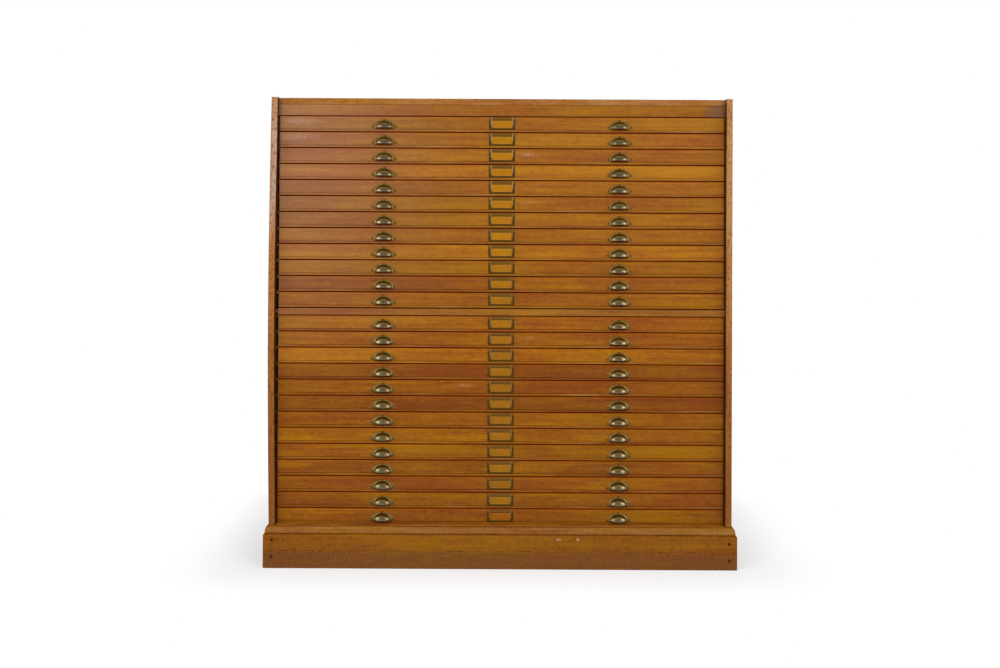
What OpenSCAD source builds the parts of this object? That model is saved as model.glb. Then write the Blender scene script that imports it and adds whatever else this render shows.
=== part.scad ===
// Plan cabinet of varnished pine with 25 shallow full-width drawers: 12 above a middle rail and 13 below.
// Millimetres, +Z up, the front faces -Y, the origin is on the floor under the middle of the cabinet.

/* [Carcass] */
// Width over the outer faces of the two side panels
carcass_w = 1347; // [1100:1:1700]
// Depth from the front edges of the side panels to the back
carcass_d = 920; // [700:1:1200]
// Thickness of each side panel
side_t = 18; // [16:0.5:24]
// Thickness of the top board
top_t = 18; // [14:0.5:24]
// Thickness of the bottom board
bottom_board_t = 22; // [16:0.5:30]
// Height of the rail under the top board
top_rail_h = 33; // [25:0.5:60]
// Thickness of the rail under the top board, front to back
top_rail_t = 22; // [18:0.5:30]
// Height of the rails between the two banks of drawers
middle_rail_h = 19.5; // [16:0.5:40]
// Depth of each middle rail, front to back
middle_rail_d = 60; // [40:1:120]
// How far the drawer fronts stand back from the front edges of the side panels
front_recess = 24; // [24:0.5:50]
// How far the old left panel has bowed outwards at mid height
left_bow = 6.5; // [0:0.5:7]

/* [Joinery] */
// Depth of the housings and mortises in the side panels
housing_d = 6; // [4:0.5:8]
// Thickness of the tenons and tongues
tenon_t = 8; // [6:0.5:10]
// Shoulder left beside a tenon
tenon_shoulder = 5; // [3:0.5:8]
// Distance from the front of the top board to the start of its end tongues
tongue_setback = 20; // [10:1:60]
// Glue line left between two boards of one assembly
glue_line = 0.1; // [0.05:0.05:0.3]
// Radius worked on the front edges of boards
edge_r = 1.5; // [0.5:0.25:2.5]

/* [Back] */
// Thickness of the back boards
back_t = 12; // [10:0.5:18]
// Number of back boards
back_count = 8; // [4:1:12]
// Depth of the rebate that holds the outer back boards
back_rebate = 10; // [9:0.5:12]
// Length of the tongue on the edge of a back board
back_tongue = 6; // [4:0.5:8]
// Thickness of that tongue
back_tongue_t = 4; // [3:0.5:5]
// Gap left between two back boards for the wood to move
back_gap = 0.6; // [0.4:0.1:1]
// Width of the chamfer along the edges of a back board
back_chamfer = 2; // [1:0.5:3]
// How far the back boards reach below the bottom board
back_overhang = 20; // [5:1:60]

/* [Plinth] */
// Height of the plinth, which is also the top of the bottom board
plinth_h = 122; // [90:1:200]
// Thickness of the plinth boards
plinth_t = 14; // [12:0.5:24]
// Height of the rounded moulding along the top of the plinth
moulding_h = 21; // [14:0.5:30]
// Thickness left at the very top of the moulding
moulding_top_t = 1.5; // [1:0.5:4]
// Thickness of the plinth board just under the moulding
moulding_foot_t = 10; // [7:0.5:11]
// Depth of the quirk under the moulding
quirk = 1.2; // [0.5:0.1:2]
// Radius of the shoulder below the quirk
shoulder_r = 5; // [2:0.5:6]
// Radius of the lower edge of the plinth
foot_r = 3; // [1:0.5:6]

/* [Drawers] */
// Number of drawers above the middle rail
upper_drawers = 12; // [1:1:12]
// Number of drawers below the middle rail
lower_drawers = 13; // [1:1:13]
// Height that each drawer takes up
drawer_pitch = 47; // [46:0.5:60]
// Open gap above each drawer front
drawer_gap = 2.5; // [1.5:0.25:4]
// Gap between a drawer and the side panel on each side
side_clearance = 1.5; // [1:0.25:3]
// Running gap between a drawer bottom and its runner
slide_gap = 0.3; // [0.2:0.05:0.5]
// Gap between the back of a drawer and the back boards
rear_clearance = 12; // [5:1:60]
// Thickness of a drawer front
drawer_front_t = 18; // [16:0.5:22]
// Thickness of a drawer side
drawer_side_t = 12; // [9:0.5:15]
// Thickness of a drawer back
drawer_back_t = 12; // [9:0.5:15]
// Thickness of a drawer bottom, whose edge shows under the front
drawer_bottom_t = 6.5; // [5:0.5:9]
// How far the bottom stands out in front of the drawer front
bottom_lip = 0.8; // [0:0.1:1.5]
// Height of a runner
runner_h = 8; // [6:0.5:10]
// Width of a runner
runner_w = 16; // [12:0.5:24]
// Gap between the top of a drawer side and the runner over it
kicker_gap = 1.5; // [1:0.25:3]
// Gap between a closed drawer front and the front ends of the runners
stop_gap = 0.5; // [0.3:0.1:2]

/* [Dovetails] */
// Number of tails at each end of a drawer side
tail_count = 2; // [1:1:3]
// Width of a tail at its narrow root
tail_root_w = 6; // [4:0.5:7]
// Length of tail that widens it by one at each edge
tail_slope = 7; // [6:0.5:10]
// Wood left in front of the tails in a drawer front
front_lap = 6; // [4:0.5:8]

/* [Cup pulls] */
// Distance between the middles of the two pulls of a drawer
pull_spacing = 692; // [300:1:800]
// Height of the lip of a pull above the underside of its drawer
pull_z = 11.3; // [11:0.1:14]
// Half the width of the cup
cup_half_w = 25.5; // [23:0.5:28]
// Rise of the cup above its lip, and also how far it stands out
cup_rise = 19.5; // [16:0.5:21]
// Radius of the cup's outline where it comes down to its lip
cup_end_r = 15; // [12:0.5:15]
// Thickness of the cup wall
cup_wall = 1.4; // [1:0.1:2]
// Height of the bead along the lip
bead_h = 1.6; // [1:0.1:2.5]
// How far the bead stands out from the cup
bead_out = 0.6; // [0.3:0.1:1]
// Thickness of the flange against the drawer front
flange_t = 1.2; // [0.8:0.1:2]
// Width of the flange around the top of the cup
flange_rim = 3.5; // [2:0.5:5]
// Radius of the lug over the cup
lug_r = 3; // [2.5:0.25:4]
// Height of the lug's middle over the top of the cup
lug_up = 3; // [2.5:0.25:4]
// Width of the pull from wing tip to wing tip
pull_w = 78; // [70:1:90]
// How far the wings hang below the lip
wing_drop = 1.5; // [1:0.5:5]
// Radius of the flange's outline at a wing tip
wing_end_r = 10; // [7:0.5:12]
// Radius of a screw head
screw_r = 2.5; // [2:0.1:3]
// Height of a screw head
screw_h = 1.2; // [0.8:0.1:1.6]
// Distance from a wing tip to the middle of its screw
wing_screw_inset = 6; // [4.5:0.5:8]
// Height of a wing's screw above the lip
wing_screw_up = 2.5; // [1.5:0.5:4]

/* [Label frames] */
// Width of a label frame
label_w = 77; // [72:1:90]
// Height of a label frame
label_h = 37; // [34:0.5:37.5]
// Width of the opening
window_w = 60; // [50:1:62]
// Height of the opening
window_h = 23; // [18:0.5:25]
// Height of the frame below the opening
window_sill = 5.5; // [4.5:0.5:7]
// Width of the raised border beside the opening
border_w = 4; // [3:0.5:5]
// Thickness of the sheet
sheet_t = 1; // [0.8:0.1:1.4]
// Room behind the raised border for the card
card_gap = 1.2; // [0.8:0.1:1.6]
// Width of the bevel around the opening
bevel = 0.8; // [0.4:0.1:0.8]
// Radius of the corners of the frame
label_corner_r = 1.5; // [0.5:0.25:3]
// Radius of a pin head
pin_r = 1.3; // [1:0.1:2]
// Height of a pin head
pin_h = 0.7; // [0.5:0.1:1]

/* [Hidden] */
$fn = 48;
ARC_STEPS = 6;
BOW_STEPS = 24;
CUT = 1;
WOOD = [0.66, 0.41, 0.16];
WOOD_DARK = [0.56, 0.34, 0.15];
WOOD_INSIDE = [0.74, 0.56, 0.34];
BRASS = [0.42, 0.37, 0.22];

drawer_count = upper_drawers + lower_drawers;
total_d = carcass_d + plinth_t;
y_back = total_d / 2;
y_panel = y_back - carcass_d;
y_drawer = y_panel + front_recess;
y_back_boards = y_back - back_t;
inner_half = carcass_w / 2 - side_t;
middle_slot = middle_rail_h + drawer_gap;
z_middle_rail = plinth_h + lower_drawers * drawer_pitch;
z_top_rail = z_middle_rail + middle_slot + upper_drawers * drawer_pitch;
z_top = z_top_rail + top_rail_h;
total_h = z_top + top_t;

drawer_w = 2 * (inner_half - side_clearance);
drawer_l = y_back_boards - rear_clearance - y_drawer;
drawer_front_h = drawer_pitch - drawer_gap - slide_gap - drawer_bottom_t - glue_line;
z_sides = drawer_bottom_t + glue_line;
drawer_side_h = drawer_pitch - runner_h - kicker_gap - slide_gap - z_sides;
y_front_shoulder = drawer_front_t + glue_line;
y_back_shoulder = drawer_l - drawer_back_t - glue_line;

label_z = drawer_bottom_t + glue_line + (drawer_front_h - label_h) / 2;
raised_half_w = window_w / 2 + border_w;

function two_digits(n) = str(n < 10 ? "0" : "", n);
function box_name(n) = str("drawer_", two_digits(n), "_box");
function fittings_name(n) = str("drawer_", two_digits(n), "_fittings");

// Underside of the space of drawer n, counted from the top
function slot_z(n) = n > upper_drawers
    ? plinth_h + (drawer_count - n) * drawer_pitch
    : z_middle_rail + middle_slot + (upper_drawers - n) * drawer_pitch;

// Sideways set of a bowed panel at height z
function bow_at(z, bow) = z < plinth_h ? 0 : bow * sin(180 * (z - plinth_h) / (total_h - plinth_h));

// Points along an arc with the radii rx and ry
function arc(cx, cy, rx, ry, from, to) = [
    for (i = [0:ARC_STEPS]) let (a = from + (to - from) * i / ARC_STEPS) [cx + rx * cos(a), cy + ry * sin(a)]
];

// Outline, in depth and height, of a board whose two front edges are rounded
function eased_board(depth, height, r) = concat(
    [[depth, 0], [depth, height]],
    arc(r, height - r, r, r, 90, 180),
    arc(r, r, r, r, 180, 270)
);

// Extrudes an outline drawn in depth and height along X
module along_x(length) {
    translate([-length / 2, 0, 0]) rotate([90, 0, 90]) linear_extrude(height = length) children();
}

// Extrudes an outline drawn in width and height along Y
module along_y(from, length) {
    translate([0, from + length, 0]) rotate([90, 0, 0]) linear_extrude(height = length) children();
}

// A block given by its lowest and highest corners
module block(low, high) {
    translate(low) cube(high - low);
}

module both_sides() {
    children();
    mirror([1, 0, 0]) children();
}

/* Side panels */

function side_levels(bow) = concat([0, plinth_h], bow > 0
    ? [for (i = [1:BOW_STEPS]) plinth_h + (total_h - plinth_h) * i / BOW_STEPS]
    : [total_h]);

// Outline of a panel seen from the front
function side_outline(bow) = let (levels = side_levels(bow), outer = carcass_w / 2, last = len(levels) - 1) concat(
    [for (z = levels) [outer + bow_at(z, bow), z]],
    [for (i = [last:-1:0]) [outer - side_t + bow_at(levels[i], bow), levels[i]]]
);

// Space that a tongue or tenon takes up at one end, from inside the carcass to the bottom of its mortise
module end_tenon(bow, y, z, start = 0) {
    reach = inner_half + bow_at((z[0] + z[1]) / 2, bow) + housing_d;
    block([inner_half - start, y[0], z[0]], [reach, y[1], z[1]]);
}

// Places of the tongues and tenons, each as a range in depth and a range in height
top_tongue_y = [y_drawer + tongue_setback, y_back_boards];
top_tongue_z = [z_top, z_top + tenon_t];
top_rail_tenon_y = [y_drawer + (top_rail_t - tenon_t) / 2, y_drawer + (top_rail_t + tenon_t) / 2];
top_rail_tenon_z = [z_top_rail + tenon_shoulder, z_top - tenon_shoulder];
middle_tenon_z = [z_middle_rail + (middle_rail_h - tenon_t) / 2, z_middle_rail + (middle_rail_h + tenon_t) / 2];
middle_rail_y = [y_drawer, y_back_boards - middle_rail_d];

function middle_tenon_y(y) = [y + tenon_shoulder, y + middle_rail_d - tenon_shoulder];

module side_panel(bow) {
    difference() {
        along_y(y_panel, carcass_d) polygon(side_outline(bow));
        block([inner_half - CUT, y_back_boards, plinth_h - bottom_board_t - back_overhang],
              [inner_half + back_rebate, y_back + CUT, total_h + CUT]);
        block([inner_half - CUT, y_panel - CUT, plinth_h - bottom_board_t],
              [inner_half + housing_d, y_back + CUT, plinth_h]);
        end_tenon(bow, top_tongue_y, top_tongue_z, CUT);
        end_tenon(bow, top_rail_tenon_y, top_rail_tenon_z, CUT);
        for (y = middle_rail_y) end_tenon(bow, middle_tenon_y(y), middle_tenon_z, CUT);
    }
}

module right_side() {
    color(WOOD) side_panel(0);
}

module left_side() {
    color(WOOD) mirror([1, 0, 0]) side_panel(left_bow);
}

/* Boards and rails between the panels */

module top_board() {
    color(WOOD) {
        translate([0, y_drawer, z_top]) along_x(2 * inner_half)
            polygon(eased_board(y_back_boards - y_drawer, top_t, edge_r));
        end_tenon(0, top_tongue_y, top_tongue_z);
        mirror([1, 0, 0]) end_tenon(left_bow, top_tongue_y, top_tongue_z);
    }
}

module bottom_board() {
    color(WOOD_INSIDE) block([-inner_half - housing_d, y_panel, plinth_h - bottom_board_t],
                             [inner_half + housing_d, y_back_boards, plinth_h]);
}

module top_rail() {
    color(WOOD_DARK) {
        translate([0, y_drawer, z_top_rail]) along_x(2 * inner_half)
            polygon(eased_board(top_rail_t, top_rail_h, edge_r));
        end_tenon(0, top_rail_tenon_y, top_rail_tenon_z);
        mirror([1, 0, 0]) end_tenon(left_bow, top_rail_tenon_y, top_rail_tenon_z);
    }
}

module middle_rails() {
    color(WOOD_DARK) for (y = middle_rail_y) {
        translate([0, y, z_middle_rail]) along_x(2 * inner_half)
            polygon(eased_board(middle_rail_d, middle_rail_h, edge_r));
        end_tenon(0, middle_tenon_y(y), middle_tenon_z);
        mirror([1, 0, 0]) end_tenon(left_bow, middle_tenon_y(y), middle_tenon_z);
    }
}

/* Back */

back_w = 2 * (inner_half + back_rebate);
back_board_w = (back_w - (back_count - 1) * back_gap) / back_count;
back_groove_clearance = 0.4;

// One back board seen from above, with a groove on its left edge and a tongue on its right edge
module back_board(grooved, tongued) {
    w = back_board_w;
    middle = back_t / 2;
    difference() {
        union() {
            polygon([[0, 0], [w, 0], [w, back_t - back_chamfer], [w - back_chamfer, back_t],
                     [back_chamfer, back_t], [0, back_t - back_chamfer]]);
            if (tongued) translate([w - CUT, middle - back_tongue_t / 2]) square([back_tongue + CUT, back_tongue_t]);
        }
        if (grooved) translate([-CUT, middle - back_tongue_t / 2 - back_groove_clearance])
            square([back_tongue + back_groove_clearance + CUT, back_tongue_t + 2 * back_groove_clearance]);
    }
}

module back_boards() {
    low = plinth_h - bottom_board_t - back_overhang;
    color(WOOD_INSIDE) for (i = [0:back_count - 1])
        translate([-back_w / 2 + i * (back_board_w + back_gap), y_back_boards, low])
            linear_extrude(height = total_h - low) back_board(i > 0, i < back_count - 1);
}

/* Plinth */

// Moulded outline of the plinth: distance out from the carcass, and height
function plinth_outline() = let (z = plinth_h - moulding_h) concat(
    [[0, 0], [0, plinth_h], [moulding_top_t, plinth_h]],
    arc(moulding_top_t, z, moulding_foot_t - moulding_top_t, moulding_h, 90, 0),
    [[moulding_foot_t - quirk, z], [moulding_foot_t - quirk, z - quirk]],
    arc(plinth_t - shoulder_r, z - quirk - shoulder_r, shoulder_r, shoulder_r, 90, 0),
    arc(plinth_t - foot_r, foot_r, foot_r, foot_r, 0, -90)
);

module plinth_front() {
    long = carcass_w / 2 + plinth_t;
    color(WOOD) intersection() {
        translate([0, y_panel, 0]) mirror([0, 1, 0]) along_x(2 * long) polygon(plinth_outline());
        translate([0, y_panel, 0]) linear_extrude(height = plinth_h)
            polygon([[-carcass_w / 2, 0], [carcass_w / 2, 0], [long, -plinth_t], [-long, -plinth_t]]);
    }
}

module plinth_return() {
    x = carcass_w / 2;
    intersection() {
        translate([x, 0, 0]) along_y(y_panel - plinth_t, total_d) polygon(plinth_outline());
        linear_extrude(height = plinth_h)
            polygon([[x, y_panel], [x + plinth_t, y_panel - plinth_t], [x + plinth_t, y_back], [x, y_back]]);
    }
}

module plinth_returns() {
    color(WOOD) both_sides() plinth_return();
}

/* Runners */

seat_gap = 0.05;

// A strip on the inner face of a side panel, with its top at z and its ends at y
module runner(bow, z, y) {
    reach = inner_half + min(bow_at(z - runner_h, bow), bow_at(z, bow)) - (bow > 0 ? seat_gap : 0);
    block([inner_half - runner_w, y[0], z - runner_h], [reach, y[1], z]);
}

module runner_pair(z, y) {
    runner(0, z, y);
    mirror([1, 0, 0]) runner(left_bow, z, y);
}

// Every drawer but the lowest has a pair of runners; the top drawer of each bank also has a pair over its sides
module drawer_runners() {
    whole = [y_drawer + drawer_front_t + stop_gap, y_back_boards];
    between_rails = [y_drawer + middle_rail_d, y_back_boards - middle_rail_d];
    color(WOOD_INSIDE) {
        for (n = [1:drawer_count - 1]) runner_pair(slot_z(n), n == upper_drawers ? between_rails : whole);
        for (n = [1, upper_drawers + 1]) runner_pair(slot_z(n) + drawer_pitch, whole);
    }
}

/* Drawers, drawn with the front face at y = 0 and the underside at z = 0 */

function tail_z(i) = z_sides + drawer_side_h * (i + 0.5) / tail_count;

// Half the width of a tail at a distance from its root
function tail_half(distance) = tail_root_w / 2 + distance / tail_slope;

// Edge of a drawer side with its tails, going up when way is 1 and down when way is -1
function tail_edge(root, tip, way) = [
    for (k = [0:tail_count - 1]) let (
        z = tail_z(way > 0 ? k : tail_count - 1 - k),
        narrow = way * tail_half(0),
        wide = way * tail_half(abs(root - tip))
    ) each [[root, z - narrow], [tip, z - wide], [tip, z + wide], [root, z + narrow]]
];

// Sockets for the tails at one end of a board, from the root past the tip, with the glue line around them
module tail_sockets(root, tip) {
    inside = drawer_w / 2 - drawer_side_t - glue_line;
    out = root < tip ? -CUT : CUT;
    deep = root < tip ? glue_line : -glue_line;
    wide = tail_half(abs(root - tip)) + glue_line;
    narrow = tail_half(0) + glue_line;
    for (i = [0:tail_count - 1])
        translate([inside, 0, 0]) rotate([90, 0, 90]) linear_extrude(height = drawer_side_t + glue_line + CUT)
            polygon([[root + out, tail_z(i) - narrow], [root, tail_z(i) - narrow], [tip + deep, tail_z(i) - wide],
                     [tip + deep, tail_z(i) + wide], [root, tail_z(i) + narrow], [root + out, tail_z(i) + narrow]]);
}

module drawer_side() {
    low = z_sides;
    high = z_sides + drawer_side_h;
    translate([drawer_w / 2 - drawer_side_t, 0, 0]) rotate([90, 0, 90]) linear_extrude(height = drawer_side_t)
        polygon(concat([[y_front_shoulder, low]], tail_edge(y_front_shoulder, front_lap, 1),
                       [[y_front_shoulder, high], [y_back_shoulder, high]],
                       tail_edge(y_back_shoulder, drawer_l, -1), [[y_back_shoulder, low]]));
}

module drawer_front() {
    difference() {
        translate([0, 0, z_sides]) along_x(drawer_w) polygon(eased_board(drawer_front_t, drawer_front_h, edge_r));
        both_sides() tail_sockets(y_front_shoulder, front_lap);
    }
}

module drawer_back() {
    difference() {
        block([-drawer_w / 2, drawer_l - drawer_back_t, z_sides], [drawer_w / 2, drawer_l, z_sides + drawer_side_h]);
        both_sides() tail_sockets(y_back_shoulder, drawer_l + CUT);
    }
}

module drawer_bottom() {
    translate([0, -bottom_lip, 0]) along_x(drawer_w)
        polygon(eased_board(drawer_l + bottom_lip, drawer_bottom_t, edge_r));
}

module drawer_box() {
    color(WOOD) drawer_front();
    color(WOOD_INSIDE) both_sides() drawer_side();
    color(WOOD_INSIDE) drawer_back();
    color(WOOD_INSIDE) drawer_bottom();
}

/* Cup pull, drawn with the middle of its lip at the origin and its flange in the plane y = 0 */

// Arch of a wide crown and two end curves of the radius end_r that meet it smoothly, grown outwards
module arch(half_w, rise, end_r, grow) {
    end_x = half_w - end_r;
    crown_r = (end_x * end_x + rise * rise - end_r * end_r) / (2 * (rise - end_r));
    crown_z = rise - crown_r;
    fan = 3 * crown_r / (crown_r - end_r);
    difference() {
        union() {
            intersection() {
                translate([0, crown_z]) circle(r = crown_r + grow);
                translate([0, crown_z])
                    polygon([[0, 0], [fan * end_x, -fan * crown_z], [-fan * end_x, -fan * crown_z]]);
            }
            for (x = [-end_x, end_x]) translate([x, 0]) circle(r = end_r + grow);
        }
        translate([-2 * half_w, -2 * half_w]) square([4 * half_w, 2 * half_w]);
    }
}

// Outline of the cup above the line of its lip, grown outwards
module cup_outline(grow) {
    arch(cup_half_w, cup_rise, cup_end_r, grow);
}

// The cup is its own outline turned a quarter round the line of the lip
module cup_shell() {
    rotate([0, 90, 0]) rotate([0, 0, 180]) rotate_extrude(angle = 90) rotate([0, 0, -90]) difference() {
        cup_outline(0);
        cup_outline(-cup_wall);
    }
}

module cup_bead() {
    mirror([0, 1, 0]) linear_extrude(height = bead_h) difference() {
        cup_outline(bead_out);
        cup_outline(-cup_wall);
    }
}

// A low arch around the cup, whose two ends are wings that hang a little below the lip
module flange() {
    inner = cup_half_w - cup_wall;
    rotate([90, 0, 0]) linear_extrude(height = flange_t) difference() {
        union() {
            arch(pull_w / 2, cup_rise + flange_rim, wing_end_r, 0);
            translate([0, cup_rise + lug_up]) circle(r = lug_r);
            both_sides() translate([inner, -wing_drop]) square([pull_w / 2 - inner, wing_drop]);
        }
        cup_outline(-cup_wall);
    }
}

// Round head standing on a surface in front of the drawer
module round_head(r, h) {
    ball = (r * r + h * h) / (2 * h);
    rotate([90, 0, 0]) intersection() {
        translate([0, 0, h - ball]) sphere(r = ball);
        translate([0, 0, -CUT / 4]) cylinder(r = r + CUT, h = h + CUT);
    }
}

module cup_pull() {
    cup_shell();
    cup_bead();
    flange();
    translate([0, -flange_t, cup_rise + lug_up]) round_head(screw_r, screw_h);
    both_sides() translate([pull_w / 2 - wing_screw_inset, -flange_t, wing_screw_up])
        round_head(screw_r, screw_h);
}

/* Label frame, drawn with the middle of its lower edge at the origin */

module rounded_plate(w, h, r) {
    polygon(concat(arc(w / 2 - r, r, r, r, -90, 0), arc(w / 2 - r, h - r, r, r, 0, 90),
                   arc(r - w / 2, h - r, r, r, 90, 180), arc(r - w / 2, r, r, r, 180, 270)));
}

// Opening in the raised sheet, which widens over the bevel towards the front
function window_splay(half, deep) = [
    [-half - bevel - CUT, -CUT],
    [half + bevel + CUT, -CUT],
    [half, bevel],
    [half, deep],
    [-half, deep],
    [-half, bevel]
];

module window_cut(front) {
    across = window_w / 2;
    up = window_h / 2;
    deep = front + CUT;
    translate([0, -front, window_sill + up]) intersection() {
        translate([0, 0, -up - bevel - CUT]) linear_extrude(height = window_h + 2 * (bevel + CUT))
            polygon(window_splay(across, deep));
        along_x(window_w + 2 * (bevel + CUT)) polygon([for (p = window_splay(up, deep)) [p[1], p[0]]]);
    }
}

module label_frame() {
    front = sheet_t + card_gap;
    difference() {
        union() {
            rotate([90, 0, 0]) linear_extrude(height = sheet_t) rounded_plate(label_w, label_h, label_corner_r);
            block([-raised_half_w, -front, 0], [raised_half_w, 0, label_h]);
        }
        window_cut(front);
        block([sheet_t - raised_half_w, -card_gap, sheet_t], [raised_half_w - sheet_t, CUT, label_h + CUT]);
    }
    both_sides() translate([(raised_half_w + label_w / 2) / 2, -sheet_t, label_h / 2]) round_head(pin_r, pin_h);
}

module drawer_fittings() {
    color(BRASS) {
        for (x = [-pull_spacing / 2, pull_spacing / 2]) translate([x, 0, pull_z]) cup_pull();
        translate([0, 0, label_z]) label_frame();
    }
}

// Moves a drawer into its place
module in_slot(n) {
    translate([0, y_drawer, slot_z(n) + slide_gap]) children();
}

left_side();
right_side();
top_board();
bottom_board();
back_boards();
top_rail();
middle_rails();
drawer_runners();
plinth_front();
plinth_returns();
for (n = [1:drawer_count]) in_slot(n) drawer_box();
for (n = [1:drawer_count]) in_slot(n) drawer_fittings();
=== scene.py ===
"""Plan cabinet of varnished pine with 25 drawers, cup pulls and label frames of aged brass."""

import math
import random
from collections import namedtuple

import bmesh
import bpy
from bpy.props import FloatProperty, FloatVectorProperty, IntProperty, PointerProperty
from mathutils import Matrix, Vector


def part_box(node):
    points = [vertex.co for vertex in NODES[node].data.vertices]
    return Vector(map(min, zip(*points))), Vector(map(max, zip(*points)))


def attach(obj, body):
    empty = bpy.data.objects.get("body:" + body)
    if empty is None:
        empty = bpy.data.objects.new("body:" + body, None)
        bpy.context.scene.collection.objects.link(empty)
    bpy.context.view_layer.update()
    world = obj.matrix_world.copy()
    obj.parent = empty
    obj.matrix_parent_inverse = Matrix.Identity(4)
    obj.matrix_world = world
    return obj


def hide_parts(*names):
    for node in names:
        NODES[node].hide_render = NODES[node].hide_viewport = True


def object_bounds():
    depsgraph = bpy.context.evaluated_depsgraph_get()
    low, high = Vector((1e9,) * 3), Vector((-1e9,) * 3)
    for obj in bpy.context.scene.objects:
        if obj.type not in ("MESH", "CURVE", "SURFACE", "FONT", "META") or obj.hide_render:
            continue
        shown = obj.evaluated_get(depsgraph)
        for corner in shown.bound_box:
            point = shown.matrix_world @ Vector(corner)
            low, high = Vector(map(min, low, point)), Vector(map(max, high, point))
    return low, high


bl_info = {
    "name": "Plan cabinet",
    "version": (1, 0, 0),
    "blender": (4, 5, 0),
    "location": "View3D > Sidebar > Cabinet",
    "description": "Dresses the frame of a plan cabinet in varnished pine and aged brass",
    "category": "Object",
}

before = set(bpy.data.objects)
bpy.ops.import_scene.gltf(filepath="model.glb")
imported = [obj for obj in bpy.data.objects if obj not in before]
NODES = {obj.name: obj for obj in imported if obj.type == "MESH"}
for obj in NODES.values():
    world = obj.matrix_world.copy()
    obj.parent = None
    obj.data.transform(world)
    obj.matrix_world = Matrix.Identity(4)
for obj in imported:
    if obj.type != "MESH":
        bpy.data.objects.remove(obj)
CAD_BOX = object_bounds()

DRAWERS = range(1, 1 + sum(name.endswith("_box") for name in NODES))
UPPER_DRAWERS = 12
QUARTER_TURN = math.radians(90)
UPRIGHT = Matrix.Rotation(QUARTER_TURN, 4, "X")
SMOOTH_BELOW = math.radians(35)


def drawer_name(n):
    return f"drawer_{n:02d}"


def drawer_floor(n):
    """Middle of the drawer's front edge at the height of its underside."""
    return Vector((0, FRONT_PLANE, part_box(drawer_name(n) + "_box")[0].z))


# Carcass and drawers, in metres
FRONT_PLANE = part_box("middle_rails")[0].y
PANEL_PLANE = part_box("left_side")[0].y
PANEL_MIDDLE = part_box("right_side")[1].x - 0.007
CARCASS_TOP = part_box("left_side")[1].z
TOP_BOARD_T = 0.018
PLINTH_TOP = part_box("plinth_front")[1].z
DRAWER_HALF_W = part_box("drawer_01_box")[1].x
DRAWER_BOTTOM_T = 0.0065
FACE_SLACK = 0.00005
DRAWER_TOP = 0.0442
DRAWER_FRONT_T = 0.018
DRAWER_SIDE_T = 0.012
VARNISH_DEPTH = 0.012
MOULDING_FOOT = PLINTH_TOP - 0.021
KICK_LINE = 0.052
PLINTH_NAILS = ((-0.6625, 0.082), (-0.6640, 0.034), (0.6645, 0.076), (0.6645, 0.028))
NAIL_RADIUS = 0.0058
PLINTH_DENT = (-0.596, 0.053)
DENT_RADIUS = 0.0060
PLINTH_CHIPS = (((0.168, 0.087), (0.016, 0.008), 5), ((0.228, 0.088), (0.014, 0.008), 6))

# Cup pulls and their screws. The bulge of a cup is rubbed bright up to a lean in degrees, and
# painted dark as shade above it.
FLANGE_T = 0.0012
FLANGE_RIM = 0.0035
WING_DROP = 0.0015
WING_END_RADIUS = 0.010
LUG_UP = 0.003
LUG_RADIUS = 0.003
LUG_STEP = 0.0001
SCREW_RADIUS = 0.0025
SCREW_RISE = 0.0012
WING_SCREW_INSET = 0.006
WING_SCREW_UP = 0.0025
BEAD_RADIUS = 0.0008
BEAD_SINK = 0.0002
COVE_T = 0.0003
COVE_SINK = 0.0005
SHADE_LEAN = 38
SHADE_FADE = 11
SOFT_EDGE = 0.0003
TOUCH = 0.00001

# Label frames, their pins and cards
LABEL_BOTTOM = 0.0067
LABEL_DEPTH = 0.0022
LABEL_RAISED_HALF_W = 0.034
SHEET_T = 0.001
WINDOW_HALF_W = 0.030
WINDOW_LOW = 0.0048
WINDOW_HIGH = 0.0272
WINDOW_BEVEL = 0.0008
FRAME_EDGE = 0.0004
TAB_INSET = 0.0002
PIN_RADIUS = 0.0013
PIN_RISE = 0.0007
CARD_LOW = (-0.0325, -0.0006, 0.0012)
CARD_HIGH = (0.0325, -0.0002, 0.0362)
CARD_EDGE = 0.00012


# Sizes and colours that a user may change


def a_colour(name, description, default):
    return FloatVectorProperty(
        name=name, description=description, subtype="COLOR", size=3, min=0, max=1,
        default=default,
    )


def a_length(name, description, low, high, default):
    return FloatProperty(
        name=name, description=description, subtype="DISTANCE", unit="LENGTH",
        min=low, max=high, default=default,
    )


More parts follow.
